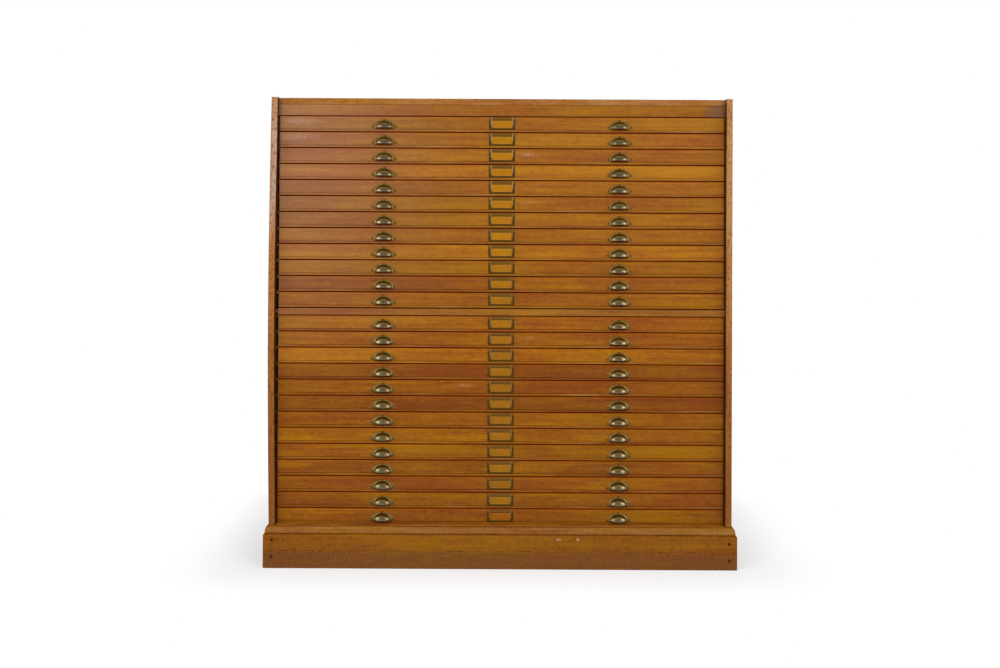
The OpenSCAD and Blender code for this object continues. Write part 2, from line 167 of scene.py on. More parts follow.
class PineSettings(bpy.types.PropertyGroup):
    """Colours and grain of the pine"""

    golden: a_colour(
        "Golden pine", "Varnished pine where it is most golden", (0.234, 0.091, 0.0010)
    )
    ruddy: a_colour("Ruddy pine", "Varnished pine where it is reddest", (0.206, 0.050, 0.0050))
    late_wood: a_colour(
        "Late wood", "Dark lines of the growth rings under varnish", (0.105, 0.025, 0.004)
    )
    # Also paints shade under the pulls, in recesses and in gaps
    grime_and_shade: a_colour("Grime", "Dirt that gathers in joints and on edges", (0.050, 0.009, 0.004))
    worn: a_colour(
        "Worn edge", "Wood that shows where the varnish is rubbed away", (0.330, 0.168, 0.058)
    )
    bleached: a_colour(
        "Bleached edge", "Edge that light and wear have turned nearly grey",
        (0.375, 0.252, 0.192),
    )
    # Also painted on the top and bottom edges of the drawers as shade in the gaps
    gathered_varnish_and_gap_shade: a_colour(
        "Gathered varnish", "Deep red varnish that has run to the edges of a board",
        (0.300, 0.050, 0.002),
    )
    # Painted sheen: the milky veil that stands for the reflection of the light from the left
    sheen_veil: a_colour(
        "Hazy varnish", "Varnish that daylight has turned milky", (0.285, 0.168, 0.128)
    )
    kicked: a_colour(
        "Kicked plinth", "Varnish dulled by feet and brooms", (0.132, 0.048, 0.012)
    )
    chips_and_glints: a_colour("Chipped plinth", "Fresh wood in the plinth's chips", (0.62, 0.45, 0.30))
    stain: a_colour("Stain", "Dark stain at the right of the top rail", (0.120, 0.065, 0.045))
    nail: a_colour("Nail heads", "Old nail heads in the plinth", (0.062, 0.009, 0.001))
    bare: a_colour("Bare pine", "Unvarnished wood inside the cabinet", (0.520, 0.315, 0.145))
    ring_width: a_length("Ring width", "Width of one growth ring", 0.001, 0.01, 0.0042)
    seed: IntProperty(
        name="Seed", description="Picks the tree that each board is sawn from",
        min=0, max=1000, default=7,
    )


class BrassSettings(bpy.types.PropertyGroup):
    """Colours of the fittings"""

    bright: a_colour(
        "Rubbed brass", "Brass on the bulges that hands touch", (0.33, 0.262, 0.140)
    )
    dull: a_colour("Patina", "Brown skin of old brass", (0.190, 0.098, 0.015))
    browned: a_colour("Browned sheet", "Old lacquer on the label frames", (0.190, 0.076, 0.010))
    # Painted highlight: the pale lines beside the windows of the frames
    chips_and_glints: a_colour(
        "Chipped lacquer", "Pale lines beside the windows of the frames", (0.46, 0.33, 0.17)
    )
    # Also paints the tops of the cups dark as shade
    murky: a_colour("Dirt", "Nearly black dirt in the hollows", (0.050, 0.024, 0.001))


class PullSettings(bpy.types.PropertyGroup):
    """Sizes of a cup pull"""

    spacing: a_length(
        "Spacing", "Distance between the middles of a drawer's two pulls", 0.3, 0.8, 0.692
    )
    lip_height: a_length(
        "Lip height", "Height of the lip above the underside of the drawer",
        0.011, 0.014, 0.0113,
    )
    half_width: a_length("Half width", "Half the width of the cup", 0.023, 0.0255, 0.0255)
    rise: a_length(
        "Rise", "Rise of the cup above its lip, and how far it stands out",
        0.016, 0.021, 0.0195,
    )
    end_radius: a_length(
        "End radius", "Radius of the cup's outline where it comes down to its lip",
        0.012, 0.015, 0.015,
    )
    wall: a_length("Wall", "Thickness of the cup", 0.001, 0.002, 0.0014)
    cove: a_length(
        "Cove", "Radius of the hollow between the cup and its flange", 0.001, 0.0035, 0.0035
    )
    width: a_length("Width", "Width from wing tip to wing tip", 0.07, 0.09, 0.078)


class LabelSettings(bpy.types.PropertyGroup):
    """Sizes of a label frame and colours of its card"""

    width: a_length("Width", "Width of the frame with its tabs", 0.072, 0.09, 0.077)
    height: a_length("Height", "Height of the frame", 0.034, 0.0375, 0.037)
    card: a_colour("Card", "Card gone amber with age", (0.300, 0.122, 0.002))
    card_edge: a_colour("Card edge", "Paler card near its edges", (0.290, 0.145, 0.022))
    card_ruddy: a_colour("Ruddy card", "Card gone red with age", (0.30, 0.065, 0.003))


class StageSettings(bpy.types.PropertyGroup):
    """Floor and light"""

    floor: a_colour("Floor", "Colour of the floor", (0.90, 0.90, 0.90))
    sky: FloatProperty(
        name="Fill light", description="Strength of the even light from all round",
        min=0, max=2, default=0.17,
    )
    focal: FloatProperty(
        name="Focal length", description="Focal length of the camera in millimetres",
        min=10, max=200, default=44.13,
    )


# Shader nodes written as sums


def math_node(operation):
    """Method of a wire that adds one math node, fed by the wire and what it is given."""
    return lambda wire, *others: wire.math(operation, wire, *others)


class Wire:
    """A socket of a material's nodes that sums and products can be written with."""

    def __init__(self, finish, socket):
        self.finish = finish
        self.socket = socket

    def math(self, operation, *values, clamp=False):
        settings = {"operation": operation, "use_clamp": clamp}
        return self.finish.node("ShaderNodeMath", settings, dict(enumerate(values)))

    __add__ = __radd__ = math_node("ADD")
    __sub__ = math_node("SUBTRACT")
    __mul__ = __rmul__ = math_node("MULTIPLY")
    __truediv__ = math_node("DIVIDE")
    __pow__ = math_node("POWER")
    __lt__ = math_node("LESS_THAN")
    __gt__ = math_node("GREATER_THAN")
    __abs__ = math_node("ABSOLUTE")
    fraction = math_node("FRACT")
    least = math_node("MINIMUM")
    most = math_node("MAXIMUM")

    def __rsub__(self, other):
        return self.math("SUBTRACT", other, self)

    def clamped(self):
        return self.math("ADD", self, 0.0, clamp=True)


class Finish:
    """One material and the calls that add nodes to it."""

    def __init__(self, name):
        self.material = bpy.data.materials.new(name)
        self.material.use_nodes = True
        self.tree = self.material.node_tree
        self.tree.nodes.clear()

    def node(self, kind, settings=None, values=None, output=0):
        """Adds a node, makes its settings and fills its sockets with numbers or links."""
        made = self.tree.nodes.new(kind)
        for key, value in (settings or {}).items():
            setattr(made, key, value)
        for key, value in (values or {}).items():
            if isinstance(value, Wire):
                self.tree.links.new(value.socket, made.inputs[key])
            else:
                made.inputs[key].default_value = value
        return Wire(self, made.outputs[output])

    def place(self):
        """Object coordinates, which are the cabinet's own metres, as three numbers."""
        return self.split(self.node("ShaderNodeTexCoord", output="Object"))

    def split(self, vector):
        parts = self.node("ShaderNodeSeparateXYZ", None, {0: vector})
        return [Wire(self, s) for s in parts.socket.node.outputs]

    def join(self, x, y, z):
        return self.node("ShaderNodeCombineXYZ", None, {0: x, 1: y, 2: z})

    def noise(self, vector, scale, shift=(0, 0, 0), detail=2.0, roughness=0.5):
        """Noise from 0 to 1 whose three scales are in cycles for each metre."""
        moved = {"Vector": vector, "Location": shift, "Scale": scale}
        moved = self.node("ShaderNodeMapping", None, moved)
        sockets = {"Vector": moved, "Scale": 1.0, "Detail": detail, "Roughness": roughness}
        return self.node("ShaderNodeTexNoise", {"noise_dimensions": "3D"}, sockets)

    def ease(self, value, low, high, start=0.0, end=1.0):
        """Goes smoothly from start to end while value goes from low to high."""
        sockets = {"Value": value, "From Min": low, "From Max": high}
        sockets.update({"To Min": start, "To Max": end})
        return self.node("ShaderNodeMapRange", {"interpolation_type": "SMOOTHSTEP"}, sockets)

    def mix(self, share, first, second):
        """Colour that goes from first to second with share."""
        first, second = [c if isinstance(c, Wire) else (*c, 1.0) for c in (first, second)]
        settings = {"data_type": "RGBA", "blend_type": "MIX", "clamp_factor": True}
        return self.node("ShaderNodeMix", settings, {0: share, 6: first, 7: second}, output=2)

    def choose(self, share, first, second):
        """Vector that goes from first to second with share."""
        settings = {"data_type": "VECTOR", "clamp_factor": True}
        return self.node("ShaderNodeMix", settings, {0: share, 4: first, 5: second}, output=1)

    def shade(self, colour, amount):
        """Colour times a number."""
        sockets = {0: colour, "Scale": amount}
        return self.node("ShaderNodeVectorMath", {"operation": "SCALE"}, sockets)

    def bump(self, height, distance, strength):
        sockets = {"Height": height, "Distance": distance, "Strength": strength}
        return self.node("ShaderNodeBump", None, sockets)

    def surface(self, colour, roughness, **sockets):
        """Closes the material with one Principled shader."""
        values = {"Base Color": colour, "Roughness": roughness}
        values.update({key.replace("_", " "): value for key, value in sockets.items()})
        self.close(self.node("ShaderNodeBsdfPrincipled", None, values))
        return self.material

    def close(self, shader):
        out = self.tree.nodes.new("ShaderNodeOutputMaterial")
        self.tree.links.new(shader.socket, out.inputs["Surface"])


def assign(node, material):
    """Puts a material on every slot of a CAD node."""
    mesh = NODES[node].data
    if not mesh.materials:
        mesh.materials.append(material)
    for i in range(len(mesh.materials)):
        mesh.materials[i] = material


# Pine


Figure = namedtuple("Figure", "late streaks fibres flecks blotches clouds")


def sawn_board(f, along, across, through, draw, ring_width, pith=None, wild=1.0):
    """Figure of one board, each part of it about 0 to 1."""
    place = f.join(along, across, through)
    shift = tuple(draw.uniform(-50, 50) for _ in range(3))
    drift = f.noise(place, (0.7, 4, 4), shift, 2.0) - 0.5
    waver = f.noise(place, (3.0, 18, 18), shift, 2.0) - 0.5
    away = pith or (draw.choice((-1, 1)) * draw.uniform(0.06, 0.14), draw.uniform(0.02, 0.07))
    sideways = across - away[0] + drift * (0.05 * wild)
    depth = through - away[1] + waver * (0.008 * wild)
    radius = (sideways * sideways + depth * depth) ** 0.5
    ring = (radius / ring_width).fraction()
    late = f.ease(ring, 0.35, 0.93) * f.ease(ring, 0.94, 1.0, 1.0, 0.0)
    streaks = f.noise(place, (2.6, 140, 140), shift, 4.0, 0.65)
    fibres = f.noise(place, (12, 1300, 1300), shift, 2.0, 0.6)
    flecks = f.noise(place, (60, 120, 120), shift, 4.0, 0.7)
    blotches = f.noise(place, (8, 60, 60), shift, 3.0, 0.6)
    clouds = f.noise(place, (2.0, 10, 10), shift, 3.0, 0.55)
    return Figure(late, streaks, fibres, flecks, blotches, clouds)


def sway(figure, **shares):
    """Sum of parts of a figure, each taken about its middle."""
    return sum((getattr(figure, part) - 0.5) * share for part, share in shares.items())


def varnished(f, pine, figure, ruddiness, brightness, grain=0.2):
    """Colour of varnished pine. ruddiness and brightness are numbers or wires."""
    # The darker parts are also the redder ones
    redness = sway(figure, clouds=-2.8, blotches=-0.9, streaks=-1.1, flecks=-1.2) + 0.2
    light = sway(figure, clouds=0.4, blotches=0.35, streaks=0.45, flecks=0.65, fibres=0.3)
    tone = f.mix(redness + ruddiness, pine.golden, pine.ruddy)
    tone = f.mix(figure.late * grain, tone, pine.late_wood)
    tone = f.mix(f.ease(figure.flecks, 0.64, 0.74, 0.0, 0.6), tone, pine.late_wood)
    return f.shade(tone, (light + 1.0) * brightness)


def bare_tone(f, pine, figure):
    """Colour of unvarnished pine."""
    tone = f.mix(figure.late * 0.35, pine.bare, pine.late_wood)
    light = sway(figure, clouds=0.35, blotches=0.25, fibres=0.3)
    return f.shade(tone, light + 0.95)


def varnish(f, tone, figure, roughness=0.36, dull=None):
    """Old varnish over a colour, uneven in gloss and sunk a little into the grain."""
    rough = sway(figure, clouds=0.2, blotches=0.2) + roughness
    if dull:
        rough = rough + dull * 0.3
    height = figure.fibres * 0.4 + figure.streaks * 0.4 - figure.late * 0.3
    return f.surface(
        tone, rough.clamped(), Normal=f.bump(height, 0.0002, 0.5),
        Coat_Weight=0.02, Coat_Roughness=0.25, Specular_IOR_Level=0.09,
    )


def painted_sheen(f, pine, tone, x, z):
    """Painted sheen: a milky veil standing for the reflection of the light from the left, most of
    all high up.
    """
    share = f.ease(x, -0.68, -0.05, 0.36, 0.065) * f.ease(z, 0.4, 1.3)
    return f.mix(share, tone, pine.sheen_veil)


def near(f, value, target, reach):
    """1 where value is target, falling to 0 at reach from it."""
    return f.ease(abs(value - target), 0.0, reach, 1.0, 0.0)


def scuff(f, x, z, middle, half_size, seed):
    """Ragged streaks of rubbed wood in a small oblong area."""
    inside = near(f, x, middle[0], half_size[0]) * near(f, z, middle[1], half_size[1])
    scratches = f.noise(f.join(x, z, 0.0), (110, 520, 1), (seed, seed, 0), 4.0, 0.75)
    return f.ease(inside * 0.25 + scratches, 0.68, 0.80)


# Drawers that differ from the rest, counted from the top
PALE_DRAWERS = {4, 9, 15}
DARK_DRAWERS = {16, 18}
DULL_DRAWERS = {1, 8, 11, 17, 19}
DARK_LEFT_DRAWERS = {1, 2, 5, 6, 7, 11}
LIGHT_LEFT_DRAWERS = {15, 20, 21, 22, 25}
GOLDEN_DRAWERS = {10, 15, 20, 21}
RUDDY_DRAWERS = {8, 11, 16, 18}
BLEACHED_DRAWERS = 3
BOLD_DRAWER = 22
# Labels whose painted highlights beside the window are brightest, counted from the top
GLINTING_LABELS = 6
# Middle, half size and share of the scratches at the left end or beside the label
SCRATCHES = {
    # The streaks at the left end of the top two drawers are partly scratches and partly a painted
    # highlight of the light from the left
    1: ((-0.60, 0.030), (0.16, 0.026), 0.45),
    2: ((-0.60, 0.030), (0.16, 0.026), 0.45),
    3: ((0.078, 0.028), (0.060, 0.014), 0.6),
    6: ((0.080, 0.028), (0.085, 0.014), 0.6),
    14: ((0.085, 0.028), (0.045, 0.014), 0.6),
    17: ((-0.105, 0.030), (0.07, 0.012), 0.8),
}


def drawer_light(f, n, draw, x):
    """Brightness of one drawer. The upper drawers are a little brighter."""
    brightness = draw.uniform(0.97, 1.03) * (1.11 - 0.007 * n)
    for drawers, share in ((PALE_DRAWERS, 1.15), (DARK_DRAWERS, 0.82), (DULL_DRAWERS, 0.95)):
        if n in drawers:
            brightness *= share
    if n in DARK_LEFT_DRAWERS:
        brightness = f.ease(x, -0.45, 0.25, 0.87, 1.0) * brightness
    if n in LIGHT_LEFT_DRAWERS:
        brightness = f.ease(x, -0.6, 0.1, 1.12, 1.0) * brightness
    return brightness


def drawer_marks(f, n, x, height):
    """Scratches. A drawer that is not in the table has a few faint ones on one side."""
    faint = ((0.3 * (-1) ** n, 0.025), (0.25, 0.012), 0.12)
    middle, half_size, share = SCRATCHES.get(n, faint)
    return scuff(f, x, height, middle, half_size, n) * share


def drawer_finish(n, pine, pull):
    """Pine of one drawer: a varnished front, bare sides, back and bottom."""
    draw = random.Random(pine.seed * 100 + n)
    f = Finish(f"pine_{drawer_name(n)}")
    x, y, z = f.place()
    height = z - drawer_floor(n).z
    is_front = y < FRONT_PLANE + DRAWER_FRONT_T
    is_side = (abs(x) > DRAWER_HALF_W - DRAWER_SIDE_T) * (1.0 - is_front)
    is_bottom = height < DRAWER_BOTTOM_T + FACE_SLACK
    # The grain of the sides runs front to back, and the wide bottom lies flat
    lie = f.choose(is_side, f.join(x, height, y), f.join(y, height, x))
    lie = f.choose(is_bottom, lie, f.join(x, y, height))
    pith = (0.02, 0.035) if n == BOLD_DRAWER else None
    width = pine.ring_width * draw.uniform(0.8, 1.4)
    figure = sawn_board(f, *f.split(lie), draw, width, pith)
    ruddiness = draw.uniform(-0.05, 0.1) + (0.0 if n <= UPPER_DRAWERS else 0.28)
    ruddiness += 0.22 * ((n in RUDDY_DRAWERS) - (n in GOLDEN_DRAWERS))
    brightness = drawer_light(f, n, draw, x)
    grain = 0.4 if n == BOLD_DRAWER else 0.2
    tone = varnished(f, pine, figure, ruddiness, brightness, grain)
    # Painted sheen of the light from the left, strongest high up
    tone = painted_sheen(f, pine, tone, x, z)
    marks = drawer_marks(f, n, x, height)
    tone = f.mix(marks, tone, pine.bleached if n <= BLEACHED_DRAWERS else pine.worn)
    # Painted shadow under the pulls, in the colour of grime
    beside_pull = abs(abs(x) - pull.spacing / 2)
    pull_shadow = f.ease(beside_pull, 0.020, 0.031, 0.8, 0.0) * near(f, height, 0.0085, 0.0050)
    tone = f.mix(pull_shadow, tone, pine.grime_and_shade)
    # The edge of the bottom board is a little darker, and rubbed pale in places
    rub = f.noise(f.join(x, y, z), (7, 60, 60), (n, 0, 0), 3.0)
    lip = is_bottom * is_front
    tone = f.mix(lip * f.ease(rub, 0.5, 0.8, 0.0, 0.5), tone, pine.worn)
    # Varnish has run to the edges, which are also painted darker as shade in the gaps between
    # drawers, and grime fills the joint over the bottom board
    edges = near(f, height, DRAWER_TOP, 0.0035).most(near(f, height, 0.0, 0.0025))
    tone = f.mix(edges * f.ease(rub, 0.2, 0.5, 0.9, 0.6), tone, pine.gathered_varnish_and_gap_shade)
    joint = near(f, height, DRAWER_BOTTOM_T, 0.0016) * f.ease(rub, 0.35, 0.6, 0.45, 0.05)
    # Painted shade: the ends of the front beside the side panels are darkened as shade in the
    # gaps
    ends = near(f, abs(x), DRAWER_HALF_W, 0.003) * 0.6
    dirt_and_shade = joint.most(lip * 0.14).most(ends) * is_front
    tone = f.mix(dirt_and_shade, tone, pine.grime_and_shade)
    # Varnish stops just behind the face
    face = y < FRONT_PLANE + VARNISH_DEPTH
    tone = f.mix(face, bare_tone(f, pine, figure), tone)
    return varnish(f, tone, figure, 0.38, (1.0 - face).most(marks))


# Which way a board lies: along, across and through it
AXES = {"X": "xzy", "Y": "yzx", "Z": "zxy", "flat": "xyz", "edge": "zyx"}


def board(name, axes, pine, seed, wild=1.0):
    """Material, place and figure of one board."""
    draw = random.Random(pine.seed * 100 + 50 + seed)
    f = Finish(name)
    place = dict(zip("xyz", f.place()))
    lie = [place[a] for a in AXES[axes]]
    figure = sawn_board(f, *lie, draw, pine.ring_width, None, wild)
    return f, *place.values(), figure


def side_finish(name, side, pine, seed):
    """Side panel, whose front edge is worn pale, most of all towards the top."""
    f, x, y, z, figure = board(name, "edge", pine, seed)
    tone = varnished(f, pine, figure, 0.35, 0.95)
    on_edge = y < PANEL_PLANE + 0.003
    rub = f.noise(f.join(x, y, z), (60, 60, 7), (seed, 0, 0), 3.0)
    worn = f.ease(z, 0.4, 1.15, 0.18, 0.6 if side < 0 else 1.05)
    worn = worn * f.ease(rub, 0.25, 0.7, 0.7, 1.15)
    tone = f.mix(on_edge * worn, tone, pine.worn)
    if side < 0:
        bleach = f.ease(z, 0.85, 1.2, 0.0, 0.75) * f.ease(z, 1.24, 1.34, 1.0, 0.4)
        bleach = bleach * f.ease(rub, 0.35, 0.6, 0.5, 1.2)
        tone = f.mix(on_edge * bleach, tone, pine.bleached)
    specks = f.noise(f.join(x, y, z), (170, 170, 100), (seed, 4, 0), 4.0, 0.75)
    specks = f.ease(specks, 0.50, 0.62, 0.0, 0.7)
    # Painted shade along the front edge next to the drawers, where the gap is dark, with specks
    # of dirt, darker towards the bottom
    inner = near(f, abs(x), DRAWER_HALF_W + 0.0015, 0.0030) * f.ease(rub, 0.4, 0.6, 0.8, 0.4)
    dirt_and_shade = inner.most(specks).most(f.ease(z, 0.5, PLINTH_TOP, 0.0, 0.22))
    tone = f.mix(dirt_and_shade * on_edge, tone, pine.grime_and_shade)
    # Painted shade darkens the inner face between its front edge and the drawers
    recess_shade = (abs(x) < PANEL_MIDDLE) * (y > PANEL_PLANE + 0.001)
    recess_shade = recess_shade * f.ease(y, FRONT_PLANE, FRONT_PLANE + 0.01, 0.85, 0.0)
    tone = f.mix(recess_shade, tone, pine.grime_and_shade)
    return varnish(f, tone, figure)


def top_finish(pine):
    """Top board with a pale, worn front edge and a few long scratches."""
    f, x, y, z, figure = board("pine_top_board", "flat", pine, 3)
    tone = varnished(f, pine, figure, 0.35, 1.0)
    rub = f.noise(f.join(x, y, z), (6, 40, 40), (4, 0, 0), 3.0)
    front = f.ease(y, FRONT_PLANE + 0.004, FRONT_PLANE + 0.03, 1.0, 0.0)
    tone = f.mix(front * f.ease(rub, 0.3, 0.7, 0.2, 0.75), tone, pine.worn)
    specks = f.noise(f.join(x, y, z), (90, 200, 200), (4, 4, 0), 3.0, 0.7)
    tone = f.mix(front * f.ease(specks, 0.52, 0.66, 0.0, 0.4), tone, pine.grime_and_shade)
    marks = f.noise(f.join(x + y * 0.6, y - x * 0.6, 0.0), (5, 240, 1), (9, 2, 0), 2.0)
    tone = f.mix(f.ease(marks, 0.70, 0.76, 0.0, 0.35), tone, pine.worn)
    return varnish(f, tone, figure)


def rail_finish(name, pine, seed, brightness, milky):
    """Rail, and for the top rail grime under the top board and a stain at its right end."""
    f, x, y, z, figure = board(name, "X", pine, seed)
    tone = f.mix(milky, varnished(f, pine, figure, 0.15, brightness), pine.sheen_veil)
    # Painted sheen of the light from the left, strongest high up
    tone = painted_sheen(f, pine, tone, x, z)
    if name == "pine_top_rail":
        cloud = f.noise(f.join(x, 0.0, z), (30, 1, 60), (2, 0, 5), 3.0)
        tone = f.mix(f.ease(x + cloud * 0.07, 0.615, 0.665, 0.0, 0.6), tone, pine.stain)
        tone = f.shade(tone, f.ease(x, -0.3, 0.4, 1.0, 0.92))
        edge = near(f, z, CARCASS_TOP - TOP_BOARD_T, 0.004) * 0.35
        tone = f.mix(edge, tone, pine.grime_and_shade)
    return varnish(f, tone, figure)


def round_spots(f, x, z, places, radius):
    """1 on round spots at the given places on the front of the plinth."""
    spots = 0.0
    for spot_x, spot_z in places:
        distance = ((x - spot_x) * (x - spot_x) + (z - spot_z) * (z - spot_z)) ** 0.5
        spots = f.ease(distance, radius * 0.7, radius, 1.0, 0.0).most(spots)
    return spots


def plinth_finish(name, axes, pine, seed):
    """Plinth board: pale along the moulding, dirty and painted dark as shade in the quirk, worn
    along the foot.
    """
    f, x, y, z, figure = board(name, axes, pine, seed, 0.7)
    tone = varnished(f, pine, figure, 0.15, 0.9, 0.12)
    along = x if axes == "X" else y
    rub = f.noise(f.join(along, z, 0.0), (9, 70, 1), (seed, 3, 0), 4.0, 0.6)
    rounded = f.ease(z, MOULDING_FOOT, MOULDING_FOOT + 0.004)
    rounded = rounded * f.ease(z, PLINTH_TOP - 0.006, PLINTH_TOP, 1.0, 0.0)
    tone = f.mix(rounded * f.ease(rub, 0.3, 0.7, 0.1, 0.45), tone, pine.worn)
    # Brooms and feet have dulled the lower part up to a ragged line
    ragged = z + (rub - 0.5) * 0.012
    kicks = f.noise(f.join(along, z, 0.0), (22, 240, 1), (seed, 8, 0), 4.0, 0.7)
    low = f.ease(ragged, KICK_LINE - 0.008, KICK_LINE, 1.0, 0.0)
    low = low * f.ease(kicks, 0.35, 0.65, 0.45, 1.0)
    tone = f.mix(low, tone, pine.kicked)
    line = near(f, ragged, KICK_LINE, 0.003) * f.ease(kicks, 0.4, 0.6, 0.1, 0.75)
    # Dirt and painted shade in the quirk
    quirk_dirt_and_shade = near(f, z, MOULDING_FOOT - 0.0008, 0.0030) * f.ease(rub, 0.35, 0.6, 0.8, 0.3)
    # Painted shade darkens the top ledge, which faces the light from above
    ledge = near(f, z, PLINTH_TOP, 0.003) * 0.4
    tone = f.mix(quirk_dirt_and_shade.most(line).most(ledge), tone, pine.grime_and_shade)
    specks = f.noise(f.join(along, z, 0.0), (150, 420, 1), (seed, 1, 6), 4.0, 0.75)
    tone = f.mix(f.ease(specks, 0.54, 0.66, 0.0, 0.9), tone, pine.grime_and_shade)
    tone = f.mix(f.ease(specks, 0.30, 0.44, 0.6, 0.0), tone, pine.worn)
    chips = 0.0
    for middle, half_size, pattern in PLINTH_CHIPS:
        chips = scuff(f, along, z, middle, half_size, pattern).most(chips)
    tone = f.mix(chips * 0.8, tone, pine.chips_and_glints)
    if axes == "X":
        dent = round_spots(f, x, z, (PLINTH_DENT,), DENT_RADIUS)
        tone = f.mix(dent * 0.35, tone, pine.grime_and_shade)
        tone = f.mix(round_spots(f, x, z, PLINTH_NAILS, NAIL_RADIUS), tone, pine.nail)
    return varnish(f, tone, figure, 0.36, low.most(ledge))


def bare_finish(name, axes, pine, seed):
    """Unvarnished pine inside and behind."""
    f, *_, figure = board(name, axes, pine, seed)
    return bare_wood(f, figure, bare_tone(f, pine, figure))


def bare_wood(f, figure, tone):
    return f.surface(
        tone, sway(figure, clouds=0.2) + 0.7, Normal=f.bump(figure.fibres, 0.0002, 0.5),
        Specular_IOR_Level=0.15,
    )


def bottom_finish(pine):
    """Bottom board: bare, with varnish and dirt on the ledge in front of the drawers."""
    f, x, y, z, figure = board("pine_bottom_board", "flat", pine, 11)
    ledge = y < FRONT_PLANE + 0.004
    rub = f.noise(f.join(x, y, z), (9, 60, 60), (2, 3, 0), 3.0)
    murky = f.mix(0.25, varnished(f, pine, figure, 0.1, 1.95), pine.worn)
    murky = f.mix(f.ease(rub, 0.4, 0.65, 0.05, 0.5), murky, pine.grime_and_shade)
    return bare_wood(f, figure, f.mix(ledge, bare_tone(f, pine, figure), murky))


# Brass and card


def brass_finish(brass):
    """Old brass. Its attribute is -1 in dirty hollows and on the painted shade of the cups' tops,
    0 on plates and 1 on bulges.
    """
    f = Finish("aged_brass")
    place = f.node("ShaderNodeTexCoord", output="Object")
    blots = f.noise(place, (130, 130, 130), (3, 1, 2), 3.0, 0.6)
    fine = f.noise(place, (900, 900, 900), (1, 5, 2), 2.0)
    wear_and_shade = f.node("ShaderNodeAttribute", {"attribute_name": "wear_and_shade"}, output="Fac")
    wear_and_shade = wear_and_shade + (blots - 0.5) * 0.7
    rubbed = f.ease(wear_and_shade, 0.1, 0.7)
    # Dirt in the hollows, and painted shade on the tops of the cups
    dirt_and_shade = f.ease(wear_and_shade, -0.1, -0.7)
    return worn_brass(f, brass, brass.dull, rubbed, dirt_and_shade, fine + blots)


def worn_brass(f, brass, skin, rubbed, dirt_and_shade, grit):
    """Brass under an old skin, rubbed bright in places, and dirty and painted dark as shade in
    others.
    """
    tone = f.mix(rubbed, skin, brass.bright)
    tone = f.mix(dirt_and_shade, tone, brass.murky)
    rough = f.ease(rubbed, 0.0, 1.0, 0.6, 0.38) + (grit - 1.0) * 0.1
    return f.surface(
        tone, rough, Metallic=f.ease(rubbed, 0.0, 1.0, 0.15, 0.95),
        Normal=f.bump(grit, 0.0001, 0.4), Specular_IOR_Level=0.12,
    )


def label_finish(n, label_low, brass):
    """Brass of a label frame: dirty and painted darker as shade below, browner above, with pale
    lines beside the window that are painted highlights.
    """
    f = Finish(f"label_brass_{drawer_name(n)}")
    x, y, z = f.place()
    height = z - label_low
    grit = f.noise(f.join(x, y, z), (700, 700, 700), (n, 5, 2), 3.0)
    beside = near(f, abs(x), WINDOW_HALF_W + 0.0014, 0.0024)
    beside = beside * f.ease(height, WINDOW_LOW, 0.02)
    upper = f.ease(height, WINDOW_HIGH + 0.001, WINDOW_HIGH + 0.004)
    rubbed = beside * 0.2 + (grit - 0.5) * 0.3
    # Painted highlights beside the window, brightest on the top labels
    chips_and_glints = beside * (0.95 if n <= GLINTING_LABELS else 0.25)
    skin = f.mix(chips_and_glints, brass.browned, brass.chips_and_glints)
    # Dirt from the grit, and painted shade that darkens the frame below and at its sides more
    # than on its top border and beside the window
    dirt_and_shade = f.ease(upper.most(beside * 1.3) + (grit - 0.5) * 0.6, 0.0, 0.8, 0.85, 0.35)
    return worn_brass(f, brass, skin, rubbed.clamped(), dirt_and_shade, grit + 0.5)


def card_finish(n, label, low, high):
    """Amber card, paler towards the edges of the opening that shows it."""
    draw = random.Random(n)
    f = Finish(f"card_{drawer_name(n)}")
    x, y, z = f.place()
    in_from_side = WINDOW_HALF_W - abs(x)
    in_from_edge = (high - low) / 2 - abs(z - (low + high) / 2)
    inset = in_from_side.least(in_from_edge)
    shift = (draw.uniform(-9, 9), draw.uniform(-9, 9), 0)
    cloud = f.noise(f.join(x, z, 0.0), (60, 90, 1), shift, 3.0)
    pale = f.ease(inset + (cloud - 0.5) * 0.004, 0.0, 0.006, 0.8, 0.0)
    tone = f.mix(pale, label.card, label.card_edge)
    ruddy = 0.5 if n == DRAWERS[-1] else draw.uniform(0, 0.15)
    tone = f.mix(ruddy, tone, label.card_ruddy)
    grain = f.noise(f.join(x, z, 0.0), (900, 900, 1), shift, 2.0)
    # The cards of the lower drawers have darkened more
    light = draw.uniform(0.95, 1.05) - min(max((n - 8) / 6, 0), 1) * 0.18
    tone = f.shade(tone, (grain - 0.5) * 0.15 + (cloud - 0.5) * 0.4 + light)
    return f.surface(
        tone, 0.6 + (grain - 0.5) * 0.1, Normal=f.bump(grain, 0.00005, 0.3),
        Specular_IOR_Level=0.12,
    )


# Mesh helpers


def mesh_of(bm, name):
    mesh = bpy.data.meshes.new(name)
    bm.to_mesh(mesh)
    bm.free()
    return mesh


def put_in_scene(name, data):
    made = bpy.data.objects.new(name, data)
    bpy.context.scene.collection.objects.link(made)
    return made


def piece_from(bm, name, body, material):
    """Turns a bmesh into a piece that rides on a body, smooth but for its corners."""
    mesh = mesh_of(bm, name)
    mesh.shade_smooth()
    mesh.set_sharp_from_angle(angle=SMOOTH_BELOW)
    mesh.materials.append(material)
    piece = put_in_scene(name, mesh)
    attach(piece, body)
    return piece


def join_into(bm, part, move=None):
    """Adds one closed part to a bmesh, with its normals outward."""
    bmesh.ops.recalc_face_normals(part, faces=part.faces[:])
    if move:
        bmesh.ops.transform(part, matrix=move, verts=part.verts[:])
    mesh = mesh_of(part, "part")
    bm.from_mesh(mesh)
    bpy.data.meshes.remove(mesh)


def verts_of(geom):
    return [g for g in geom if isinstance(g, bmesh.types.BMVert)]


